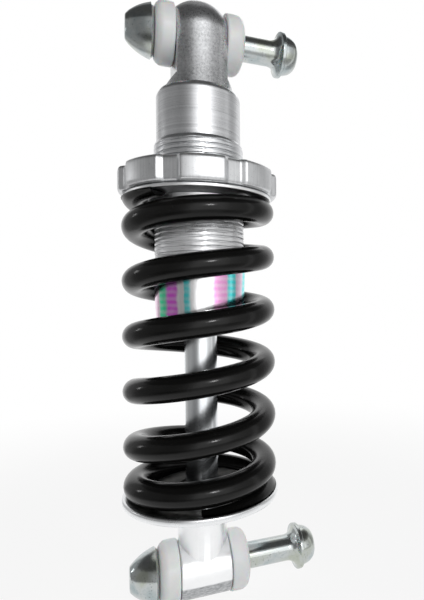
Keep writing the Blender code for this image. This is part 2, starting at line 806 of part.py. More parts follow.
def retaining_circlip():
    """An open ring with a rounded lug at each end, sprung into the groove in the tube."""
    outer = BORE_R + CLIP_DEPTH - RUNNING_GAP
    inner = outer - CLIP_WIDTH
    lug = 0.6 * CLIP_WIDTH
    half_open = CLIP_OPEN_DEG / 2
    steps = 30

    def on_ring(radius, degrees):
        angle = math.radians(degrees)
        return radius * math.cos(angle), radius * math.sin(angle)

    first, last = half_open, 360 - half_open
    lug_deg = math.degrees(CLIP_WIDTH / inner)
    outline = [on_ring(outer, first + (last - first) * i / steps) for i in range(steps + 1)]
    outline += [on_ring(inner - lug, last), on_ring(inner - lug, last - lug_deg)]
    first_inner, last_inner = first + lug_deg * 1.3, last - lug_deg * 1.3
    outline += [
        on_ring(inner, last_inner - (last_inner - first_inner) * i / steps) for i in range(steps + 1)
    ]
    outline += [on_ring(inner - lug, first + lug_deg), on_ring(inner - lug, first)]
    middle = Matrix.Translation((0, 0, (CLIP_GROOVE_LOW_Z + CLIP_GROOVE_TOP_Z) / 2))
    return outline_prism("retaining_circlip", outline, CLIP_THICKNESS, middle, "spring_steel")


# Pivot hardware: two flanged bushes, a headed bolt and a cap nut at each eye

def eye_bush(name, z, flip):
    outer = EYE_BORE_R - RUNNING_GAP
    inner = BOLT_R + RUNNING_GAP
    base = EYE_WIDTH / 2 + SEAT_GAP
    middle_gap = SEAT_GAP
    corner = (FLANGE_R - FLANGE_ROUND_R, BUSH_FACE_X - FLANGE_ROUND_X)
    back = 0.5 * MM
    profile = [(inner, BUSH_FACE_X)]
    profile += arc(corner, (FLANGE_ROUND_R, FLANGE_ROUND_X), 90, 0, 5)
    profile += [(FLANGE_R, base + back), (FLANGE_R - back, base), (outer, base)]
    profile += [(outer, middle_gap), (inner, middle_gap)]
    bush = turned(name, profile, "white_nylon", sides=SMALL_SIDES, closed=True)
    return along_x(bush, z=z, flip=flip)


def cap_nut(name, z):
    """A bullet-shaped blind nut: chamfered base, convex taper and a small flat tip."""
    base = BUSH_FACE_X + SEAT_GAP
    tip = base + CAP_LENGTH
    hole = CAP_THREAD_R + RUNNING_GAP
    depth = CAP_THREAD_LENGTH + 2 * SEAT_GAP
    profile = [(0, tip), (CAP_TIP_R, tip)]
    body_low = base + CAP_CHAMFER
    steps = 6
    for i in range(1, steps + 1):
        share = i / steps
        bulge = math.sin(math.pi * share) * 0.35 * MM
        radius = CAP_TIP_R + 0.9 * MM + (CAP_BASE_R - CAP_TIP_R - 0.9 * MM) * share ** 0.9
        height = tip - 0.8 * MM - (tip - 0.8 * MM - body_low) * share
        profile.append((radius + bulge, height))
    profile += [(CAP_BASE_R - CAP_CHAMFER, base), (hole, base), (hole, base + depth), (0, base + depth)]
    nut = turned(name, profile, "zinc_plate", sides=SMALL_SIDES)
    return along_x(nut, z=z, flip=True)


def pivot_bolt(name, z, grip):
    """A plain shank with a flared and domed head at +X and a threaded stub in the cap nut."""
    shank_end = -(BUSH_FACE_X + 2 * SEAT_GAP - SEAT_GAP)
    stub_end = -(BUSH_FACE_X + SEAT_GAP + CAP_THREAD_LENGTH)
    under_head = BUSH_FACE_X + grip
    flange_top = under_head + HEAD_FLANGE_THICKNESS
    dome_top = flange_top + HEAD_DOME_LENGTH
    rim = 0.3 * MM
    socket_r = HEX_FLATS / 2 / math.cos(math.pi / 6)
    end_r = socket_r + 0.7 * MM
    profile = [(0, dome_top), (end_r, dome_top)]
    profile += arc((end_r, flange_top), (HEAD_DOME_R - end_r, HEAD_DOME_LENGTH), 75, 0, 5)
    profile += [(HEAD_FLANGE_R - rim, flange_top), (HEAD_FLANGE_R, flange_top - rim)]
    profile += [(HEAD_FLANGE_R, under_head + rim), (HEAD_FLANGE_R - rim, under_head)]
    flare_r = HEAD_FLANGE_R - rim - BOLT_R
    profile += arc((HEAD_FLANGE_R - rim, under_head - HEAD_FLARE), (flare_r, HEAD_FLARE), 105, 180, 5)
    profile += [(BOLT_R, shank_end), (CAP_THREAD_R, shank_end)]
    profile += [(CAP_THREAD_R, stub_end), (0, stub_end)]
    bolt = baked(along_x(turned(name, profile, "zinc_plate", sides=SMALL_SIDES), z=z))
    socket = [
        (socket_r * math.cos(math.pi * k / 3), socket_r * math.sin(math.pi * k / 3)) for k in range(6)
    ]
    place = Matrix.Translation((dome_top, 0, z)) @ Matrix.Rotation(math.pi / 2, 4, "Y")
    cutter = outline_prism(f"{name}_socket", socket, 2 * HEX_DEPTH, place, collection=CUTTERS)
    return cut(bolt, hide_cutter(cutter))


def pivot_hardware(end, z, grip):
    """The four pieces at one eye, as (bushes, bolt and nut)."""
    bushes = [
        eye_bush(f"{end}_bush_right", z, flip=False),
        eye_bush(f"{end}_bush_left", z, flip=True),
    ]
    fasteners = [pivot_bolt(f"{end}_pivot_bolt", z, grip), cap_nut(f"{end}_cap_nut", z)]
    return bushes, fasteners


# Assembly

def build():
    body = [damper_body(), foil_label(), seal_head(), seal_head_o_ring(), guide_bush()]
    body += [shaft_seal(), dust_wiper(), retaining_circlip(), bottom_out_bumper(), coil_spring()]
    body.append(
        washer("top_out_bumper", ROD_R + SEAL_GAP, TOP_OUT_R, TOP_OUT_LOW_Z, TOP_OUT_THICKNESS,
               "polyurethane", 0.5 * MM)
    )
    shaft = [piston_rod(), piston(), piston_band(), piston_nut(), lower_spring_seat(), lower_eye()]
    shaft.append(shim_stack("rebound_shims", REBOUND_SHIMS_Z, widest_below=False))
    shaft.append(shim_stack("compression_shims", COMPRESSION_SHIMS_Z, widest_below=True))
    collar, ring = preload_collar(), guide_ring()
    upper_bushes, upper_fasteners = pivot_hardware("upper", 0, UPPER_GRIP)
    lower_bushes, lower_fasteners = pivot_hardware("lower", LOWER_EYE_Z, LOWER_GRIP)

    shaft_axis = pivot_empty("shaft_axis", (0, 0, ROD_FOOT_Z))
    collar_axis = pivot_empty("collar_axis", (0, 0, COLLAR_BOTTOM_Z))
    upper_pivot = pivot_empty("upper_pivot_axis", (0, 0, 0))
    lower_pivot = pivot_empty("lower_pivot_axis", (0, 0, LOWER_EYE_Z))
    carry(shaft_axis, *shaft, lower_pivot)
    carry(collar_axis, collar, ring)
    carry(upper_pivot, *upper_bushes, *upper_fasteners)
    carry(lower_pivot, *lower_bushes, *lower_fasteners)
    moving = [*shaft, collar, ring, *upper_bushes, *upper_fasteners, *lower_bushes, *lower_fasteners]
    for obj in body + moving:
        smooth(obj)


clear_scene()
PARTS = new_collection("rear_shock")
CUTTERS = new_collection("cutters", hidden=True)
MATERIALS = make_materials()
build()
bpy.context.view_layer.update()
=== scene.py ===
import math

import bmesh
import bpy
from mathutils import Matrix, Vector, noise


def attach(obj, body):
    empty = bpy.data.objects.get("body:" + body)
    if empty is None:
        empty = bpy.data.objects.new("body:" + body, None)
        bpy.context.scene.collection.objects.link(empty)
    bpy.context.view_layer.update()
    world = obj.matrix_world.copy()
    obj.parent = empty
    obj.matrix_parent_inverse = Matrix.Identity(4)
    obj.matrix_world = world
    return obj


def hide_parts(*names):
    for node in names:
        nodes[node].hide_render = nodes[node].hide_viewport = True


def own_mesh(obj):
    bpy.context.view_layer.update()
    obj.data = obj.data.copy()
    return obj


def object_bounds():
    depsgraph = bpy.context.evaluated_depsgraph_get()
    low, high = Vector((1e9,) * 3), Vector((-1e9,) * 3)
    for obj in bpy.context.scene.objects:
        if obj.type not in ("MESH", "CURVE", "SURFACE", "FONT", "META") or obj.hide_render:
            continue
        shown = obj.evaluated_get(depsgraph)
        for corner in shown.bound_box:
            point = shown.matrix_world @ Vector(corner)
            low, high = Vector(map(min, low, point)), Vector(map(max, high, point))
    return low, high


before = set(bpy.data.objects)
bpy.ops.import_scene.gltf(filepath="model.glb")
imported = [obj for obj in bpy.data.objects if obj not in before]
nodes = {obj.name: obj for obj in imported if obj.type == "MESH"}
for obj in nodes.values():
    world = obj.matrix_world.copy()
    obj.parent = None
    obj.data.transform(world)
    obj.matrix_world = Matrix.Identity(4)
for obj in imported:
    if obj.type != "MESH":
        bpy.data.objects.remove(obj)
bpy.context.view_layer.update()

mm, micron = 0.001, 0.000001


# Shader maths: a socket that can be added, multiplied and so on

class Signal:
    def __init__(self, finish, socket):
        self.finish, self.socket = finish, socket

    def maths(self, operation, *values):
        return self.finish.node("Math", {"operation": operation}, dict(enumerate(values)))

    def __add__(self, other):
        return self.maths("ADD", self, other)

    def __sub__(self, other):
        return self.maths("SUBTRACT", self, other)

    def __rsub__(self, other):
        return self.maths("SUBTRACT", other, self)

    def __mul__(self, other):
        return self.maths("MULTIPLY", self, other)

    def __truediv__(self, other):
        return self.maths("DIVIDE", self, other)

    def most(self, other):
        return self.maths("MAXIMUM", self, other)

    def size(self):
        return self.maths("ABSOLUTE", self)

    def sine(self):
        return self.maths("SINE", self)

    def fraction(self):
        return self.maths("FRACT", self)

    # Eases from to[0] to to[1]
    def step(self, low, high, to=(0.0, 1.0)):
        settings = {"interpolation_type": "SMOOTHSTEP"}
        values = {"Value": self, "From Min": low, "From Max": high}
        return self.finish.node("MapRange", settings, {**values, "To Min": to[0], "To Max": to[1]})


# One material, or the world, and its nodes
class Finish:
    def __init__(self, name, world=False):
        kind = bpy.data.worlds if world else bpy.data.materials
        self.data = kind.new(name)
        self.data.use_nodes = True
        self.tree = self.data.node_tree
        self.tree.nodes.clear()

    def node(self, kind, settings=None, values=None, out=0):
        made = self.tree.nodes.new("ShaderNode" + kind)
        for name, value in (settings or {}).items():
            setattr(made, name, value)
        for key, value in (values or {}).items():
            if isinstance(value, Signal):
                self.tree.links.new(value.socket, made.inputs[key])
            elif isinstance(value, tuple) and len(value) == 3 and made.inputs[key].type == "RGBA":
                made.inputs[key].default_value = (*value, 1)
            else:
                made.inputs[key].default_value = value
        return Signal(self, made.outputs[out]) if len(made.outputs) else None

    def place(self):  # metres, in the shock's frame
        return self.node("TexCoord", out="Object")

    def worn(self):  # 1 on sharp edges
        return self.node("NewGeometry", out="Pointiness").step(0.52, 0.60)

    # 1 for rays that metal mirrors or nylon lets through
    def mirrored(self):
        return self.ray("Glossy").most(self.ray("Transmission"))

    def ray(self, kind):
        return self.node("LightPath", out=f"Is {kind} Ray")

    def axes(self, vector):
        split = self.node("SeparateXYZ", values={0: vector})
        return [Signal(self, split.socket.node.outputs[i]) for i in range(3)]

    def vector(self, x, y, z):
        return self.node("CombineXYZ", values={0: x, 1: y, 2: z})

    def length(self, vector):
        return self.node("VectorMath", {"operation": "LENGTH"}, {0: vector}, out="Value")

    def angle(self, across, toward):
        return self.node("Math", {"operation": "ARCTAN2"}, {0: across, 1: toward})

    def scaled(self, vector, *scale):
        return self.node("VectorMath", {"operation": "MULTIPLY"}, {0: vector, 1: scale})

    def noise(self, vector, scale, detail=3.0, rough=0.55):
        values = {"Vector": vector, "Scale": scale, "Detail": detail, "Roughness": rough}
        return self.node("TexNoise", values=values)

    def mix(self, factor, first, second):
        settings = {"data_type": "RGBA"}
        mixed = self.node("Mix", settings, {0: factor, 6: first, 7: second})
        return Signal(self, mixed.socket.node.outputs[2])

    def ramp(self, factor, stops):
        ramp = self.node("ValToRGB", values={0: factor})
        elements = ramp.socket.node.color_ramp.elements
        while len(elements) < len(stops):
            elements.new(0.5)
        for element, (place, colour) in zip(elements, stops):
            element.position, element.color = place, (*colour, 1)
        return ramp

    def bump(self, height, distance, strength):
        values = {"Height": height, "Distance": distance, "Strength": strength}
        return self.node("Bump", values=values)

    def principled(self, **values):
        values = {name.replace("_", " "): value for name, value in values.items()}
        shader = self.node("BsdfPrincipled", values=values)
        self.node("OutputMaterial", values={0: shader})
        return self.data


def grey(level):
    return (level,) * 3


# Camera, at the photograph's place

view = {
    # side: degrees to the left of -Y
    "away": 157.4 * mm, "height": -82.7 * mm, "side": 10.0,
    "yaw": 21.9, "pitch": 0.18, "roll": -0.58, "lens": 29.35, "shift": -0.1525,
}


def makeCamera():
    side, yaw = math.radians(view["side"]), math.radians(view["yaw"])
    pitch, roll = math.radians(view["pitch"]), math.radians(view["roll"])
    flat = math.cos(pitch)
    ahead = Vector((math.sin(yaw) * flat, math.cos(yaw) * flat, math.sin(pitch)))
    level = Vector((math.cos(yaw), -math.sin(yaw), 0))
    upright = level.cross(ahead)
    right = level * math.cos(roll) + upright * math.sin(roll)
    up = upright * math.cos(roll) - level * math.sin(roll)
    data = bpy.data.cameras.new("camera")
    data.lens, data.sensor_width, data.shift_x = view["lens"], 36, view["shift"]
    data.clip_start, data.clip_end = 0.01, 20
    camera = bpy.data.objects.new("camera", data)
    place = Vector((-view["away"] * math.sin(side), -view["away"] * math.cos(side), view["height"]))
    turned = Matrix((right, up, -ahead)).transposed().to_4x4()
    camera.matrix_world = Matrix.Translation(place) @ turned
    bpy.context.scene.collection.objects.link(camera)
    bpy.context.scene.camera = camera
    bpy.context.scene.view_settings.view_transform = "Standard"


makeCamera()
print("camera placed")


# Floor, lamps and the pale room that the metal shows

room = {
    # degrees from the camera's side, and brightness
    "levels": [
        (-180, 1.0), (-150, 0.9), (-136, 0.42), (-119, 0.5), (-104, 0.32), (-70, 0.32),
        (-50, 0.24), (-33, 0.28), (-20, 0.48), (-6, 1.5), (34, 1.5), (46, 0.9), (60, 0.72),
        (76, 0.55), (80, 0.95), (86, 0.95), (90, 0.42), (104, 0.42), (128, 0.75), (146, 1.0),
        (180, 1.0),
    ],
    # light above and under those levels
    "upper": 0.27, "ceiling": 0.08, "below": 0.6,
    "upperFrom": (0.51, 0.57), "ceilingFrom": (0.62, 0.74), "belowFrom": (-0.75, -0.35),
}
floor = {
    # drop: under the shock's lowest point, clear: glow that leaves a faint shadow
    "radius": 3.0, "drop": 0.4 * mm,
    "paper": 0.88, "mottle": 0.02, "clear": 0.88,
    # front: how far reflections are dimmed in front of the shock and near it
    "front": 0.4, "frontTo": (0.12, 0.25), "frontFar": (0.2, 0.4),
    "whiteTo": (0.08, 0.16), "shadowTo": (0.10, 0.32), "shadeTo": (0.02, 0.10),
}
# degrees round from the camera, degrees up, distance, size and power
lamps = {
    "windowLamp": (15, 18, 0.7, (0.10, 0.06), 0.75),
    "leftLamp": (-105, 12, 0.8, (0.04, 0.14), 0.15),
    "backLamp": (160, 45, 0.9, (0.5, 0.4), 0.6),
}


# 0.5 on the camera's side, 0 and 1 behind the shock
def bearing(finish, x, y):
    side = math.radians(view["side"])
    across = x * math.cos(side) - y * math.sin(side)
    toward = x * -math.sin(side) - y * math.cos(side)
    return finish.angle(across, toward) / math.pi * 0.5 + 0.5


# Upright bands of light and dark, as a photo studio has, and the white paper behind
def bands(finish, turn):
    levels = [(degrees / 360 + 0.5, grey(level)) for degrees, level in room["levels"]]
    behind = (turn - 0.48).size().step(0.35, 0.40)
    return finish.ramp(turn, levels), behind


def makeRoom():
    world = Finish("paleRoom", world=True)
    bpy.context.scene.world = world.data
    x, y, z = world.axes(world.node("TexCoord", out="Generated"))
    light, behind = bands(world, bearing(world, x, y))
    light = world.mix(z.step(*room["upperFrom"]), light, world.scaled(light, *grey(room["upper"])))
    light = world.mix(z.step(*room["ceilingFrom"]), light, grey(room["ceiling"]))
    light = world.mix(z.step(*room["belowFrom"], (1.0, 0.0)), light, grey(room["below"]))
    seen = world.ray("Camera").most(world.mirrored() * behind * z.step(0.35, 0.7, (1.0, 0.25)))
    colour = world.mix(seen, light, grey(1.0))
    shade = world.node("Background", values={"Color": colour, "Strength": 1.0})
    world.node("OutputWorld", values={0: shade})


def makeFloor():
    mesh = bpy.data.meshes.new("floor")
    bm = bmesh.new()
    bmesh.ops.create_circle(bm, cap_ends=True, segments=96, radius=floor["radius"])
    bm.to_mesh(mesh)
    bm.free()
    sheet = bpy.data.objects.new("floor", mesh)
    sheet.location.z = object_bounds()[0][2] - floor["drop"]
    bpy.context.scene.collection.objects.link(sheet)
    paper = Finish("floorPaper")
    here = paper.place()
    pale, mottle = floor["paper"], floor["mottle"]
    grain = paper.mix(paper.noise(here, 60.0), grey(pale - mottle), grey(pale + mottle))
    shade = paper.node("BsdfDiffuse", values={"Color": grain})
    x, y, z = paper.axes(here)
    turn = bearing(paper, x, y)
    light, behind = bands(paper, turn)
    camera, far = paper.ray("Camera"), paper.length(here)
    full = (turn - 0.5).size().step(*floor["frontTo"]).most(far.step(*floor["frontFar"]))
    light = paper.mix(full, paper.scaled(light, *grey(floor["front"])), light)
    white = camera.most(behind).most(far.step(*floor["whiteTo"], (1.0, 0.0)))
    colour = paper.mix(white, light, grey(1.0))
    glow = paper.node("Emission", values={"Color": colour, "Strength": 1.0})
    share = camera * far.step(*floor["shadowTo"], (floor["clear"], 1.0))  # the shadow stays near
    share = share.most(paper.mirrored() * far.step(*floor["shadeTo"], (0.9, 1.0)))
    both = paper.node("MixShader", values={0: share, 1: shade, 2: glow})
    paper.node("OutputMaterial", values={0: both})
    mesh.materials.append(paper.data)


def makeLamp(name, turn, lift, away, size, power):
    data = bpy.data.lights.new(name, "AREA")
    data.shape, data.size, data.size_y = "RECTANGLE", *size
    data.energy = power
    lamp = bpy.data.objects.new(name, data)
    angle = math.radians(turn - view["side"])  # 0 is where the camera stands
    aim = Vector((0, 0, -80 * mm))  # about half way down the shock
    flat = Vector((math.sin(angle), -math.cos(angle), 0)) * math.cos(math.radians(lift))
    lamp.location = aim + (flat + Vector((0, 0, math.sin(math.radians(lift))))) * away
    lamp.rotation_euler = (aim - lamp.location).to_track_quat("-Z", "Y").to_euler()
    bpy.context.scene.collection.objects.link(lamp)


makeRoom()
makeFloor()
for name, settings in lamps.items():
    makeLamp(name, *settings)
print("floor, lamps and room made")


# Finishes

# Heights between which a finish changes
zones = {
    "eye": (-21 * mm, -16 * mm), "collar": (-54 * mm, -49 * mm),
    "seatEdge": (-142.4 * mm, -142.0 * mm), "darkUnderStrip": (-167.0 * mm, -166.4 * mm),
}


# Fine lathe marks run round the bar, and the eye is grainy
def turnedAluminium(name, pale, paintedLightUnderCoil=0.0):
    metal = Finish(name)
    here = metal.place()
    x, y, z = metal.axes(here)
    rings = metal.noise(metal.scaled(here, 30, 30, 5200), 1.0, 3.0, 0.6)
    coarse = metal.noise(metal.scaled(here, 14, 14, 900), 1.0, 3.0, 0.6)
    cloud = metal.noise(here, 160.0, 5.0)
    specks = metal.noise(here, 2600.0, 2.0).step(0.60, 0.72)
    grain = metal.noise(here, 1500.0, 4.0)
    eye = z.step(*zones["eye"], (0.0, 0.85))
    marks = (rings * 0.6 + coarse * 0.4) * (1 - eye) + grain * eye
    dark, light = (pale * 0.52, pale * 0.53, pale * 0.54), (pale * 0.97, pale * 0.98, pale)
    colour = metal.ramp(marks * 0.8 + cloud * 0.2, [(0.3, dark), (0.7, light)])
    colour = metal.mix(specks * 0.45, colour, (0.34, 0.34, 0.35))
    worn = metal.worn()
    colour = metal.mix(worn * 0.6, colour, (0.93, 0.94, 0.95))
    # painted light: paler and less metallic below the collar, in place of the light that the coil's
    # shade takes away
    paintedLightMask = z.step(*zones["collar"], (paintedLightUnderCoil, 0.0))
    colour = metal.mix(paintedLightMask, colour, (0.97, 0.97, 0.98))
    rough = marks * 0.14 + cloud * 0.12 + specks * 0.1 + 0.16
    return metal.principled(
        Base_Color=colour, Metallic=1 - paintedLightMask, Roughness=rough,
        Normal=metal.bump(marks, 1.8 * micron, 0.7)
    )


# Milled collar: duller, with upright marks
def satinAluminium():
    metal = Finish("satinAluminium")
    here = metal.place()
    marks = metal.noise(metal.scaled(here, 1500, 1500, 60), 1.0, 3.0, 0.6)
    cloud = metal.noise(here, 190.0, 5.0)
    specks = metal.noise(here, 2100.0, 2.0).step(0.62, 0.70)
    worn = metal.worn()
    tones = [(0.32, (0.62, 0.63, 0.64)), (0.68, (0.82, 0.83, 0.84))]
    colour = metal.ramp(marks * 0.6 + cloud * 0.4, tones)
    colour = metal.mix(specks * 0.4, colour, (0.40, 0.40, 0.41))
    colour = metal.mix(worn * 0.8, colour, (0.93, 0.94, 0.95))
    rough = marks * 0.12 + cloud * 0.12 + specks * 0.1 + 0.26 - worn * 0.08
    return metal.principled(
        Base_Color=colour, Metallic=1.0, Roughness=rough,
        Normal=metal.bump(marks - specks, 10 * micron, 0.6)
    )


def brightAluminium():
    metal = Finish("brightAluminium")
    here = metal.place()
    cloud = metal.noise(here, 220.0, 5.0)
    grain = metal.noise(metal.scaled(here, 900, 900, 2400), 1.0, 3.0)
    tones = [(0.3, (0.90, 0.91, 0.92)), (0.7, (0.97, 0.975, 0.98))]
    colour = metal.ramp(cloud * 0.7 + grain * 0.3, tones)
    x, y, z = metal.axes(here)
    # darker strip along the lower side of the lower eye
    under = (z + cloud * (0.8 * mm)).step(*zones["darkUnderStrip"], (1.0, 0.0))
    darkUnderColour = metal.ramp(grain, [(0.35, (0.28, 0.29, 0.30)), (0.65, (0.56, 0.57, 0.58))])
    colour = metal.mix(under, colour, darkUnderColour)
    rough = grain * 0.12 + cloud * 0.12 + 0.24
    return metal.principled(
        Base_Color=colour, Metallic=1.0, Roughness=rough, Normal=metal.bump(grain, 6 * micron, 0.5)
    )


# Pressed plate: bright rim, with painted shade inside the coil
def seatSteel():
    metal = Finish("seatSteel")
    here = metal.place()
    x, y, z = metal.axes(here)
    cloud = metal.noise(here, 240.0, 5.0)
    rim = (metal.length(metal.vector(x, y, 0.0)) + cloud * (1.2 * mm)).step(22.6 * mm, 23.6 * mm)
    # painted shade: dark inside the coil, where the spring shades the plate; the outer rim and the
    # underside stay bright
    paintedShadeInCoil = metal.ramp(cloud, [(0.35, (0.07, 0.07, 0.068)), (0.65, (0.20, 0.20, 0.19))])
    under = z.step(*zones["seatEdge"], (1.0, 0.0))
    colour = metal.mix(rim.most(under), paintedShadeInCoil, (0.86, 0.87, 0.88))
    rough = cloud * 0.2 + 0.32 - rim * 0.14
    return metal.principled(
        Base_Color=colour, Metallic=1.0, Roughness=rough, Normal=metal.bump(cloud, 20 * micron, 0.4)
    )


# Bright zinc with a faint blue-green cast
def zincPlate():
    metal = Finish("zincPlate")
    here = metal.place()
    cloud = metal.noise(here, 140.0, 4.0)
    grain = metal.noise(metal.scaled(here, 5200, 60, 60), 1.0, 3.0)
    pits = metal.noise(here, 1900.0, 2.0).step(0.62, 0.7)
    tones = [(0.35, (0.40, 0.46, 0.47)), (0.5, (0.53, 0.56, 0.56)), (0.66, (0.47, 0.50, 0.44))]
    colour = metal.ramp(cloud, tones)
    colour = metal.mix(pits * 0.6, colour, (0.16, 0.17, 0.17))
    worn = metal.worn()
    colour = metal.mix(worn * 0.7, colour, (0.82, 0.84, 0.84))
    rough = grain * 0.12 + cloud * 0.1 + 0.07
    return metal.principled(
        Base_Color=colour, Metallic=1.0, Roughness=rough,
        Normal=metal.bump(grain * 0.6 - pits * 0.4, 4 * micron, 0.5)
    )


def hardChrome():
    metal = Finish("hardChrome")
    here = metal.place()
    streaks = metal.noise(metal.scaled(here, 900, 900, 12), 1.0, 3.0)
    cloud = metal.noise(here, 90.0, 4.0)
    colour = metal.ramp(cloud, [(0.3, (0.80, 0.83, 0.86)), (0.7, (0.90, 0.92, 0.93))])
    return metal.principled(
        Base_Color=colour, Metallic=1.0, Roughness=streaks * 0.08 + 0.2,
        Normal=metal.bump(streaks, 4 * micron, 0.4)
    )


# Thick gloss coat with a faint orange peel
def blackEnamel():
    paint = Finish("blackEnamel")
    here = paint.place()
    peel = paint.noise(here, 900.0, 2.0)
    cloud = paint.noise(here, 120.0, 5.0)
    dust = paint.noise(here, 3400.0, 2.0).step(0.64, 0.72) * cloud.step(0.45, 0.7)
    colour = paint.mix(cloud, (0.003, 0.003, 0.003), (0.007, 0.0068, 0.0062))
    colour = paint.mix(dust * 0.25, colour, (0.08, 0.078, 0.072))
    rough = cloud * 0.10 + peel * 0.05 + dust * 0.2 + 0.1
    return paint.principled(
        Base_Color=colour, Roughness=rough, Normal=paint.bump(peel, 60 * micron, 0.35),
        Specular_IOR_Level=0.25
    )


def whiteNylon():
    plastic = Finish("whiteNylon")
    here = plastic.place()
    cloud = plastic.noise(here, 130.0, 4.0)
    grain = plastic.noise(here, 1500.0, 3.0)
    colour = plastic.ramp(cloud, [(0.3, (0.86, 0.88, 0.89)), (0.7, (0.94, 0.95, 0.95))])
    return plastic.principled(
        Base_Color=colour, Roughness=grain * 0.15 + 0.3,
        Normal=plastic.bump(grain, 30 * micron, 0.4),
        Subsurface_Weight=0.35, Subsurface_Scale=3 * mm
    )


# Bare silver foil with painted iridescent reflection in upright colour bands, fixed by the angle
# round the tube, with a faint ripple
def rainbowFoil():
    foil = Finish("rainbowFoil")
    here = foil.place()
    x, y, z = foil.axes(here)
    turn = foil.angle(x, y * -1.0) / math.pi
    wander = foil.noise(foil.scaled(here, 90, 90, 300), 1.0, 2.0) * 0.03
    pink, green, magenta = (0.93, 0.66, 0.84), (0.06, 0.80, 0.42), (0.78, 0.13, 0.78)
    white, cyan, rose = (0.96, 0.96, 0.97), (0.08, 0.84, 0.86), (0.92, 0.40, 0.76)
    # painted iridescent reflection: colour bands set by the angle round the tube, white where it
    # faces the camera
    paintedIridescence = foil.ramp((turn + wander + 0.54).fraction(), [
        (0.0, pink), (0.15, pink), (0.18, green), (0.23, green), (0.26, magenta), (0.33, magenta),
        (0.35, white), (0.385, white), (0.395, cyan), (0.42, cyan), (0.44, white), (0.58, white),
        (0.60, rose), (0.68, rose), (0.70, cyan), (0.76, cyan), (0.78, pink), (0.85, pink),
        (0.88, cyan), (1.0, cyan),
    ])
    ripple = 2 * math.pi / (1.9 * mm)
    rows = (z * ripple + wander * 60).sine() * 0.12 + 0.12
    paintedIridescence = foil.mix(rows, paintedIridescence, white)
    crease = foil.noise(here, 420.0, 4.0)
    colour = foil.mix(crease.step(0.40, 0.65) * 0.12, paintedIridescence, white)
    return foil.principled(
        Base_Color=colour, Metallic=1.0, Roughness=crease * 0.2 + 0.1,
        Normal=foil.bump(crease, 100 * micron, 0.4)
    )


def plainFinish(name, dark, pale, metallic, roughness):
    made = Finish(name)
    here = made.place()
    cloud = made.noise(here, 260.0, 5.0)
    grain = made.noise(here, 2200.0, 3.0)
    colour = made.ramp(cloud * 0.6 + grain * 0.4, [(0.3, dark), (0.7, pale)])
    return made.principled(
        Base_Color=colour, Metallic=metallic, Roughness=grain * 0.15 + roughness,
        Normal=made.bump(grain, 30 * micron, 0.4)
    )


finishes = {
    "turned": turnedAluminium("turnedAluminium", 0.88),
    # threadAluminium is painted paler than the turned finish, and paler still below the collar:
    # painted light where the coil shades the thread
    "thread": turnedAluminium("threadAluminium", 0.97, 0.45), "satin": satinAluminium(),
    "seat": seatSteel(), "bright": brightAluminium(), "zinc": zincPlate(), "chrome": hardChrome(),
    "enamel": blackEnamel(), "nylon": whiteNylon(), "foil": rainbowFoil(),
}
# name, dark and pale colour, metallic, roughness
plainFinishes = {
    "springSteel": ("bluedSpringSteel", (0.22, 0.23, 0.26), (0.42, 0.43, 0.45), 1.0, 0.28),
    "bronze": ("sinteredBronze", (0.45, 0.30, 0.15), (0.68, 0.50, 0.28), 1.0, 0.35),
    "rubber": ("sealRubber", (0.012, 0.012, 0.012), (0.03, 0.03, 0.03), 0.0, 0.6),
    "amber": ("amberPolyurethane", (0.30, 0.16, 0.03), (0.45, 0.27, 0.07), 0.0, 0.35),
}
for name, settings in plainFinishes.items():
    finishes[name] = plainFinish(*settings)

# The CAD's own solids, inside the damper
innerFinish = {
    "seal_head": "bright", "seal_head_o_ring": "rubber", "guide_bush": "bronze",
    "shaft_seal": "rubber", "dust_wiper": "amber", "retaining_circlip": "springSteel",
    "bottom_out_bumper": "amber", "piston": "bright", "piston_band": "bronze",
    "piston_nut": "zinc", "compression_shims": "springSteel", "rebound_shims": "springSteel",
    "top_out_bumper": "amber",
}
for name, finish in innerFinish.items():
    slots = nodes[name].data.materials
    slots.clear()
    slots.append(finishes[finish])
print("finishes made")


# Mesh helpers

# Faces between rows of points that close round
def ringGrid(rows, columns, wrapRows=False):
    faces = []
    for row in range(rows if wrapRows else rows - 1):
        above, below = row * columns, (row + 1) % rows * columns
        for column in range(columns):
            after = (column + 1) % columns
            faces.append((above + column, above + after, below + after, below + column))
    return faces


# Rounds each corner given as (radius, height, size), up to about half a side
def softened(points, steps=4):
    soft = []
    for i, point in enumerate(points):
        here, size = Vector(point[:2]), point[2] if len(point) > 2 else 0
        before, after = Vector(points[i - 1][:2]), Vector(points[(i + 1) % len(points)][:2])
        if not size:
            soft.append(tuple(here))
            continue
        sides = (before - here, after - here)
        start, end = (here + side.normalized() * min(size, side.length * 0.48) for side in sides)
        for k in range(steps + 1):
            t = k / steps
            soft.append(tuple(start * (1 - t) ** 2 + here * 2 * t * (1 - t) + end * t * t))
    return soft


def polar(radius, angle):
    return radius * math.cos(angle), radius * math.sin(angle)


# Points on an arc in the turning plane
def curve(centre, sizes, start, end, steps):
    points = []
    for i in range(steps + 1):
        angle = math.radians(start + (end - start) * i / steps)
        across, along = polar(1, angle)
        points.append((centre[0] + sizes[0] * across, centre[1] + sizes[1] * along))
    return points


# Lays a turned piece on a pivot axis
def alongBolt(z=0.0, flip=False):
    quarter = -math.pi / 2 if flip else math.pi / 2
    return Matrix.Translation((0, 0, z)) @ Matrix.Rotation(quarter, 4, "Y")


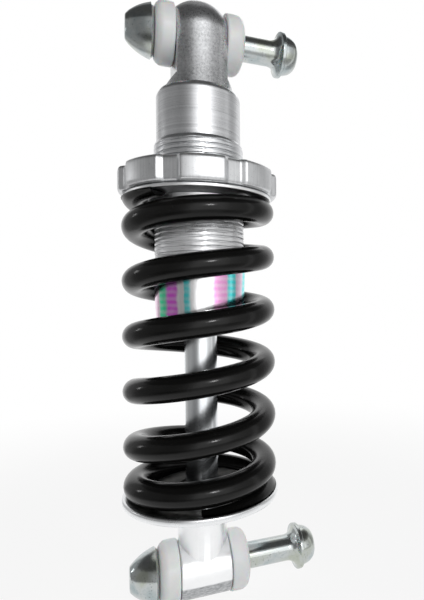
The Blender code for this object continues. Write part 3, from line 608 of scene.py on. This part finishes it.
# merge is how close points have to be to become one, as on the axis
def solidMesh(name, vertices, faces, place=Matrix(), merge=0.0):
    mesh = bpy.data.meshes.new(name)
    mesh.from_pydata(vertices, [], faces)
    bm = bmesh.new()
    bm.from_mesh(mesh)
    if merge:
        bmesh.ops.remove_doubles(bm, verts=bm.verts, dist=merge)
        bmesh.ops.dissolve_degenerate(bm, edges=bm.edges, dist=merge / 5)
    bmesh.ops.recalc_face_normals(bm, faces=bm.faces)
    bmesh.ops.transform(bm, matrix=place, verts=bm.verts)
    bm.to_mesh(mesh)
    bm.free()
    return mesh


def turnMesh(name, points, sides=128, ring=False, place=Matrix(), shift=None):
    vertices, rows = [], len(points)
    for radius, height in points:
        for k in range(sides):
            angle = 2 * math.pi * k / sides
            out = radius + (shift(angle, radius, height) if shift else 0)
            vertices.append((*polar(out, angle), height))
    return solidMesh(name, vertices, ringGrid(rows, sides, ring), place, merge=0.5 * micron)


def rodMesh(name, radius, top, low, sides, place=Matrix()):
    return turnMesh(name, [(0, top), (radius, top), (radius, low), (0, low)], sides, place=place)


# A flat outline, drawn out about its plane
def prismMesh(name, outline, depth, place):
    count = len(outline)
    vertices = [(x, y, side * depth / 2) for side in (-1, 1) for x, y in outline]
    faces = [tuple(reversed(range(count))), tuple(range(count, 2 * count))]
    faces += [(i, (i + 1) % count, (i + 1) % count + count, i + count) for i in range(count)]
    return solidMesh(name, vertices, faces, place)


# Booleans, then a small bevel on sharp edges
def carve(mesh, cuts, bevel=0.0, joins=()):
    piece = bpy.data.objects.new("blank", mesh)
    bpy.context.scene.collection.objects.link(piece)
    helpers = []
    for operation, group in (("UNION", joins), ("DIFFERENCE", cuts)):
        for other in group:
            helper = bpy.data.objects.new("helper", other)
            bpy.context.scene.collection.objects.link(helper)
            helpers.append(helper)
            boolean = piece.modifiers.new("carve", "BOOLEAN")
            boolean.operation, boolean.solver, boolean.object = operation, "EXACT", helper
    if bevel:
        edge = piece.modifiers.new("edge", "BEVEL")
        edge.width, edge.segments, edge.limit_method = bevel, 3, "ANGLE"
        edge.angle_limit = math.radians(33)
    bpy.context.view_layer.update()
    graph = bpy.context.evaluated_depsgraph_get()
    made = bpy.data.meshes.new_from_object(piece.evaluated_get(graph), depsgraph=graph)
    for helper in helpers + [piece]:
        bpy.data.objects.remove(helper)
    name, mesh.name = mesh.name, "blank"
    made.name = name
    return made


# stands names the CAD node that the piece replaces
def addMesh(mesh, finish, body, slot, *stands, sharp=32):
    mesh.materials.clear()
    mesh.materials.append(finishes[finish])
    piece = bpy.data.objects.new(mesh.name, mesh)
    bpy.context.scene.collection.objects.link(piece)
    mesh.shade_smooth()
    mesh.set_sharp_from_angle(angle=math.radians(sharp))
    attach(piece, body)
    if stands:
        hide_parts(*stands)
    return piece


# Damper body: milled eye, shoulder and threaded tube

damper = {
    "eye": 10.8 * mm, "width": 15.2 * mm, "bore": 6.15 * mm, "flatEnd": 14.3 * mm,
    "shoulder": 19.8 * mm, "tube": 12.9 * mm, "end": 89.5 * mm, "inside": 9.5 * mm,
    "insideTop": 20.5 * mm, "edge": 0.28 * mm,
}
thread = {
    "top": -33.5 * mm, "low": -70.0 * mm, "crest": 13.7 * mm, "pitch": 1.5 * mm, "deep": 0.3 * mm,
    "crestShare": 0.68, "rootShare": 0.14, "inset": 0.4 * mm, "columns": 96, "rowsPerPitch": 10,
    "nick": 0.25 * mm, "nickFrom": 0.35, "nicksRound": 9, "nicksAlong": 2600,
}


def makeDamper():
    eye, tube = damper["eye"], damper["tube"]
    barEnd = -(damper["flatEnd"] + eye - damper["width"] / 2)
    points = curve((0, 0), (eye, eye), 90, 0, 28) + [(eye, barEnd)]
    points += curve((eye, -damper["shoulder"]), (tube - eye, damper["shoulder"] + barEnd), 60, 0, 9)
    points += softened([
        (tube, -damper["shoulder"] - 0.2 * mm), (tube, -damper["end"], 0.5 * mm),
        (damper["inside"], -damper["end"], 0.3 * mm), (damper["inside"], -damper["insideTop"]),
    ])
    points.append((0, -damper["insideTop"]))
    body = turnMesh("damperShell", points, 160)
    half, reach = damper["width"] / 2, 4 * tube
    upright = Matrix.Rotation(math.pi / 2, 4, "X")
    cuts = []
    for side in (1, -1):
        corner = half + reach
        outline = [  # upright, then sloped out
            (half * side, 2 * eye), (half * side, -damper["flatEnd"]),
            (corner * side, -damper["flatEnd"] - reach), (corner * side, 2 * eye),
        ]
        cuts.append(prismMesh("eyeFlat", outline, 4 * tube, upright))
    cuts.append(rodMesh("eyeBore", damper["bore"], 3 * half, -3 * half, 96, alongBolt()))
    shell = carve(body, cuts, damper["edge"])
    addMesh(shell, "turned", "damper", "turned_aluminium", "damper_body")


# One start, shallow, with worn flat crests
def makeThread():
    top, low, pitch = thread["top"], thread["low"], thread["pitch"]
    columns, crest, nicks = thread["columns"], thread["crestShare"], thread["nicksRound"]
    rows = round((top - low) / pitch * thread["rowsPerPitch"])
    spokes = [polar(1, 2 * math.pi * k / columns) for k in range(columns)]
    vertices = []
    for row in range(rows + 1):
        height = top + (low - top) * row / rows
        runOut = min((top - height) / pitch, (height - low) / pitch, 1.0)
        runOut = max(runOut, 0) ** 0.6
        for k, (across, along) in enumerate(spokes):
            share = ((height / pitch) - k / columns) % 1.0
            flank = min(abs(share - 0.5) * 2 / (1 - thread["rootShare"]), 1.0)
            # 0 on the crest, 1 in the root
            flank = max(flank - crest, 0) / (1 - crest)
            cut = thread["crest"] - thread["deep"] * flank
            out = damper["tube"] * (1 - runOut) + cut * runOut
            place = Vector((across * nicks, along * nicks, height * thread["nicksAlong"]))
            out -= max(noise.noise(place) - thread["nickFrom"], 0) * thread["nick"]
            vertices.append((out * across, out * along, height))
    faces = [tuple(reversed(face)) for face in ringGrid(rows + 1, columns)]
    inner = damper["tube"] - thread["inset"]
    # closes both ends down into the tube
    for edge, height in ((0, top), (rows * columns, low)):
        start = len(vertices)
        vertices += [(inner * across, inner * along, height) for across, along in spokes]
        for k in range(columns):
            after = (k + 1) % columns
            face = (edge + k, edge + after, start + after, start + k)
            faces.append(face if edge == 0 else tuple(reversed(face)))
    mesh = bpy.data.meshes.new("tubeThread")
    mesh.from_pydata(vertices, [], faces)
    addMesh(mesh, "thread", "damper", "turned_aluminium", sharp=40)


makeDamper()
makeThread()
print("damper body turned and threaded")


# Preload collar, the ring under it and the foil round the tube

collar = {
    "radius": 24.2 * mm, "top": -42.4 * mm, "height": 7.4 * mm, "bore": 13.85 * mm,
    "edge": 1.5 * mm, "notches": 8, "corner": 1.9 * mm, "notchWidth": 5.6 * mm,
    "notchDepth": 1.4 * mm, "firstNotch": 15.0,
    # flatTo: degrees from a notch's middle over which its floor is flat
    "flatTo": 8,
}
guide = {
    "radius": 22.4 * mm, "thick": 1.0 * mm, "spigot": 14.9 * mm, "height": 3.3 * mm,
    "top": -50.0 * mm,
}
foil = {
    "top": -71.5 * mm, "length": 16.6 * mm, "thick": 0.35 * mm, "flare": 0.75 * mm,
    "inside": 13.05 * mm,
}


# How far the collar's rim is cut back at this angle
def notchCut(angle, radius, height):
    if radius < (collar["bore"] + collar["radius"]) / 2:
        return 0
    fromFirst = math.degrees(math.atan2(math.cos(angle), -math.sin(angle))) - collar["firstNotch"]
    step = 360 / collar["notches"]
    away = abs((fromFirst + step / 2) % step - step / 2)
    across = math.radians(away) * collar["radius"]
    wall = (collar["notchWidth"] / 2 - across) / collar["corner"]
    share = min(max(wall + 0.5, 0), 1)
    share = share * share * (3 - 2 * share)
    tilt = math.cos(math.radians(min(away, collar["flatTo"])))
    return -share * (collar["radius"] - (collar["radius"] - collar["notchDepth"]) / tilt)


def makeCollar():
    low = collar["top"] - collar["height"]
    points = softened([
        (collar["bore"], collar["top"], 0.6 * mm),
        (collar["radius"], collar["top"], collar["edge"]),
        (collar["radius"], low, collar["edge"]), (collar["bore"], low, 0.6 * mm),
    ], 6)
    rim = turnMesh("notchedCollar", points, 720, ring=True, shift=notchCut)
    addMesh(rim, "satin", "collar", "turned_aluminium", "preload_collar", sharp=40)


def makeGuideRing():
    bore, top, under = collar["bore"], guide["top"], guide["top"] - guide["thick"]
    points = softened([
        (bore, top), (guide["radius"], top, 0.35 * mm), (guide["radius"], under, 0.35 * mm),
        (guide["spigot"], under, 0.3 * mm), (guide["spigot"], under - guide["height"], 0.35 * mm),
        (bore, under - guide["height"]),
    ])
    ring = turnMesh("guideRing", points, 160, ring=True)
    addMesh(ring, "bright", "guide_ring", "bright_aluminium", "spring_guide_ring")


def makeFoil():
    inside = foil["inside"]
    rows, outer = 24, []
    for k in range(rows + 1):
        share = k / rows
        radius = inside + foil["thick"] + foil["flare"] * (1 - share)
        outer.append((radius, foil["top"] - foil["length"] * share))
    inner = [(radius - foil["thick"], height) for radius, height in reversed(outer)]

    def slack(angle, radius, height):  # foil stands off the tube
        place = Vector((math.cos(angle) * 3.2, math.sin(angle) * 3.2, height * 160))
        return noise.noise(place) * 0.10 * mm

    wrap = turnMesh("foilWrap", outer + inner, 160, ring=True, shift=slack)
    addMesh(wrap, "foil", "damper", "foil", "foil_label", sharp=50)


makeCollar()
makeGuideRing()
makeFoil()
print("collar, guide ring and foil made")


# Shaft, lower seat and lower eye

lower = {
    "eye": -165.0 * mm, "width": 15.2 * mm, "barrel": 8.7 * mm, "bore": 6.15 * mm,
    "seatTop": -140.6 * mm, "seatRadius": 23.7 * mm, "seatThick": 2.2 * mm, "pilot": 14.6 * mm,
    "pilotHeight": 1.4 * mm, "hole": 6.95 * mm, "spigot": 6.8 * mm, "shoulder": 9.6 * mm,
    "shoulderHeight": 1.5 * mm, "neck": 7.5 * mm, "fillet": 2.1 * mm, "rodHole": 4.15 * mm,
    "rodEnd": -152.0 * mm,
}
shaft = {
    "radius": 5.0 * mm, "foot": -141.2 * mm, "footEnd": -151.2 * mm, "footRadius": 4.0 * mm,
    "shoulder": -75.1 * mm, "spigot": 3.0 * mm, "tip": -61.4 * mm, "edge": 0.4 * mm,
}


def makeSeat():
    top, thick = lower["seatTop"], lower["seatThick"]
    points = softened([
        (lower["hole"], top + lower["pilotHeight"], 0.3 * mm),
        (lower["pilot"], top + lower["pilotHeight"], 0.8 * mm),
        (lower["pilot"], top, 0.3 * mm), (lower["seatRadius"], top, 0.8 * mm),
        (lower["seatRadius"], top - thick, 0.9 * mm), (lower["hole"], top - thick, 0.3 * mm),
    ], 6)
    seat = turnMesh("springSeat", points, 200, ring=True)
    addMesh(seat, "seat", "shaft", "pressed_steel", "lower_spring_seat")


def makeLowerEye():
    top = lower["seatTop"] - 0.8 * mm
    shoulderTop = lower["seatTop"] - lower["seatThick"] - 0.2 * mm
    shoulderLow = shoulderTop - lower["shoulderHeight"]
    fillet = lower["fillet"]
    points = [(0, top), (lower["spigot"], top), (lower["spigot"], shoulderTop)]
    points += softened([
        (lower["spigot"], shoulderTop), (lower["shoulder"], shoulderTop, 0.4 * mm),
        (lower["shoulder"], shoulderLow, 0.4 * mm), (lower["neck"] + fillet, shoulderLow),
    ])[1:]
    corner = (lower["neck"] + fillet, shoulderLow - fillet)
    points += curve(corner, (fillet, fillet), 90, 180, 9)[1:]
    points += [(lower["neck"], lower["eye"]), (0, lower["eye"])]
    neck = turnMesh("lowerEyeForging", points)
    half, place = lower["width"] / 2, alongBolt(lower["eye"])
    barrel = softened([
        (0, half), (lower["barrel"], half, 0.5 * mm), (lower["barrel"], -half, 0.5 * mm),
        (0, -half),
    ])
    barrel = turnMesh("barrel", barrel, place=place)
    cuts = [
        rodMesh("crossBore", lower["bore"], 3 * half, -3 * half, 96, place),
        rodMesh("rodHole", lower["rodHole"], top + mm, lower["rodEnd"], 64),
    ]
    eye = carve(neck, cuts, 0.35 * mm, joins=[barrel])
    addMesh(eye, "bright", "shaft", "bright_aluminium", "lower_eye")


def makeRod():
    edge = shaft["edge"]
    points = softened([
        (0, shaft["tip"]), (shaft["spigot"], shaft["tip"], edge),
        (shaft["spigot"], shaft["shoulder"]),
        (shaft["radius"], shaft["shoulder"], edge), (shaft["radius"], shaft["foot"]),
        (shaft["footRadius"], shaft["foot"]), (shaft["footRadius"], shaft["footEnd"], edge),
        (0, shaft["footEnd"]),
    ])
    rod = turnMesh("chromedShaft", points, 160)
    addMesh(rod, "chrome", "shaft", "chrome", "piston_rod")


makeSeat()
makeLowerEye()
makeRod()
print("shaft, lower seat and eye made")


# Pivot hardware: flanged bushes, bolt and bullet-shaped cap nut at each eye

pivot = {
    # gap: between faces, clear: between bolt and bush
    "gap": 0.2 * mm, "clear": 0.15 * mm, "bolt": 4.0 * mm, "half": 7.6 * mm, "face": 13.6 * mm,
    "flange": 9.1 * mm, "roundX": 2.6 * mm, "roundR": 3.0 * mm, "sleeve": 6.0 * mm,
    "capBase": 7.9 * mm, "capLength": 8.0 * mm, "capTip": 3.4 * mm, "capTipEdge": 0.9 * mm,
    "capTipDrop": 0.8 * mm, "capBulge": 0.35 * mm, "capChamfer": 0.7 * mm, "nutBore": 3.15 * mm,
    "nutDeep": 5.4 * mm,
    # the shoulder ends just short of the nut's face
    "shoulder": -13.75 * mm, "stub": 3.0 * mm, "stubLength": 5.0 * mm, "headFlange": 7.1 * mm,
    "headThick": 1.3 * mm, "headEdge": 0.3 * mm, "flare": 3.4 * mm, "dome": 6.2 * mm,
    "domeLength": 4.8 * mm, "hexFlats": 4.0 * mm, "hexDeep": 2.6 * mm,
    "grips": {"upper": 12.6 * mm, "lower": 17.0 * mm},
    "heights": {"upper": 0.0, "lower": -165.0 * mm},
}


def makeBush(end, side, flip):
    base, gap = pivot["half"] + pivot["gap"], pivot["gap"]
    corner = (pivot["flange"] - pivot["roundR"], pivot["face"] - pivot["roundX"])
    inner = pivot["bolt"] + pivot["clear"]
    points = [(inner, pivot["face"] - 0.3 * mm), (inner + 0.3 * mm, pivot["face"])]
    points += curve(corner, (pivot["roundR"], pivot["roundX"]), 90, 0, 14)
    points += softened([
        (pivot["flange"], corner[1]), (pivot["flange"], base, 0.6 * mm), (pivot["sleeve"], base),
        (pivot["sleeve"], gap), (inner, gap), (inner, mm),
    ])[1:-1]
    place = alongBolt(pivot["heights"][end], flip)
    bush = turnMesh(f"{end}NylonBush{side.title()}", points, ring=True, place=place)
    addMesh(bush, "nylon", f"{end}_bushes", "white_nylon", f"{end}_bush_{side}")


def makeCapNut(end):
    base, steps = pivot["face"] + pivot["gap"], 16
    tip, bodyLow = base + pivot["capLength"], base + pivot["capChamfer"]
    shoulderRadius, shoulder = pivot["capTip"] + pivot["capTipEdge"], tip - pivot["capTipDrop"]
    points = softened([(0, tip), (pivot["capTip"], tip, 0.5 * mm), (shoulderRadius, shoulder)])[:-1]
    for i in range(1, steps + 1):  # the bulging cone
        share = i / steps
        bulge = math.sin(math.pi * share) * pivot["capBulge"]
        radius = shoulderRadius + (pivot["capBase"] - shoulderRadius) * share ** 0.9
        points.append((radius + bulge, shoulder - (shoulder - bodyLow) * share))
    bore, deep = pivot["nutBore"], base + pivot["nutDeep"]
    points += softened([
        (pivot["capBase"], bodyLow), (pivot["capBase"] - pivot["capChamfer"], base, 0.2 * mm),
        (bore, base),
    ])[1:]
    points += [(bore, deep), (0, deep)]
    nut = turnMesh(f"{end}BulletNut", points, place=alongBolt(pivot["heights"][end], True))
    addMesh(nut, "zinc", f"{end}_nut", "zinc_plate", f"{end}_cap_nut")


def makeBolt(end):
    under = pivot["face"] + pivot["grips"][end]
    flangeTop = under + pivot["headThick"]
    domeTop, rim = flangeTop + pivot["domeLength"], pivot["headEdge"]
    socket = pivot["hexFlats"] / 2 / math.cos(math.pi / 6)
    endRadius = socket + 0.7 * mm
    points = softened([
        (0, domeTop), (endRadius, domeTop, 0.25 * mm), (endRadius + mm, domeTop - 0.4 * mm),
    ])[:-1]
    dome = (pivot["dome"] - endRadius, pivot["domeLength"])
    points += curve((endRadius, flangeTop), dome, 72, 0, 14)
    points += softened([
        (pivot["dome"], flangeTop), (pivot["headFlange"], flangeTop, rim),
        (pivot["headFlange"], under, rim),
        (pivot["headFlange"] - rim - 0.1 * mm, under),
    ])[1:-1]
    edge = pivot["headFlange"] - rim
    flare = (edge - pivot["bolt"], pivot["flare"])
    points += curve((edge, under - pivot["flare"]), flare, 105, 180, 14)
    shoulder, stub = pivot["shoulder"], pivot["stub"]
    tip = shoulder - pivot["stubLength"]
    points += [(pivot["bolt"], shoulder), (stub, shoulder), (stub, tip), (0, tip)]
    bolt = turnMesh(f"{end}PivotBolt", points, place=alongBolt(pivot["heights"][end]))
    outline = [polar(socket, math.pi * k / 3) for k in range(6)]
    place = Matrix.Translation((domeTop, 0, 0)) @ alongBolt(pivot["heights"][end])
    bolt = carve(bolt, [prismMesh("hexSocket", outline, 2 * pivot["hexDeep"], place)])
    addMesh(bolt, "zinc", f"{end}_bolt", "zinc_plate", f"{end}_pivot_bolt")


for end in ("upper", "lower"):
    makeBush(end, "right", False)
    makeBush(end, "left", True)
    makeCapNut(end)
    makeBolt(end)
print("bushes, bolts and cap nuts made")


# Coil spring: closed ends, ground flat

coil = {
    "wire": 7.5 * mm, "radius": 19.5 * mm, "turns": 6.9, "topTip": 1.7 * mm,
    "bottomTip": 0.6 * mm, "gap": 0.45 * mm, "top": -51.2 * mm, "bottom": -140.4 * mm,
    "closedTop": 0.617, "closedBottom": 0.975, "ease": 0.7, "start": -10.0, "alongTurn": 80,
    "round": 28, "stroke": 35.0 * mm,
}


# Heights of the wire's middle, from the lower end up
def coilHeights(count):
    climb = coil["wire"] + coil["gap"]  # rise of a closed turn
    low = coil["bottom"] - coil["wire"] / 2 + coil["bottomTip"]
    high = coil["top"] + coil["wire"] / 2 - coil["topTip"]
    free = coil["turns"] - coil["closedTop"] - coil["closedBottom"] - coil["ease"]
    extra = (high - low - climb * coil["turns"]) / free

    def eased(turn):
        share = min(max(turn / coil["ease"], 0), 1)
        return coil["ease"] * (share ** 3 - share ** 4 / 2) + max(turn - coil["ease"], 0)

    heights = []
    for i in range(count + 1):
        turn = coil["turns"] * i / count
        rise = eased(turn - coil["closedBottom"])
        rise -= eased(turn - (coil["turns"] - coil["closedTop"] - coil["ease"]))
        heights.append(low + climb * turn + extra * rise)
    return heights


def makeSpring():
    count = round(coil["turns"] * coil["alongTurn"])
    heights = coilHeights(count)
    points = []
    for i, height in enumerate(heights):
        angle = math.radians(coil["start"]) + 2 * math.pi * coil["turns"] * i / count
        points.append(Vector((*polar(coil["radius"], angle - math.pi / 2), height)))
    vertices, half = [], coil["wire"] / 2
    for i, point in enumerate(points):
        along = (points[min(i + 1, count)] - points[max(i - 1, 0)]).normalized()
        up = along.cross(Vector((point.x, point.y, 0)).normalized()).normalized()
        out = up.cross(along).normalized()
        for j in range(coil["round"]):
            turn = 2 * math.pi * j / coil["round"]
            place = point + (out * math.cos(turn) + up * math.sin(turn)) * half
            place.z = min(max(place.z, coil["bottom"]), coil["top"])  # ground flat
            vertices.append(place)
    faces = [tuple(reversed(face)) for face in ringGrid(count + 1, coil["round"])]
    for base in (0, count * coil["round"]):  # a fan closes each end
        rim = vertices[base:base + coil["round"]]
        middle = len(vertices)
        vertices.append(sum(rim, Vector()) / len(rim))
        for j in range(coil["round"]):
            fan = (middle, base + (j + 1) % coil["round"], base + j)
            faces.append(tuple(reversed(fan)) if base else fan)
    wire = solidMesh("woundSpring", vertices, faces)
    spring = addMesh(wire, "enamel", "shaft", "black_enamel", "coil_spring", sharp=50)
    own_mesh(spring)


makeSpring()
print("spring wound")
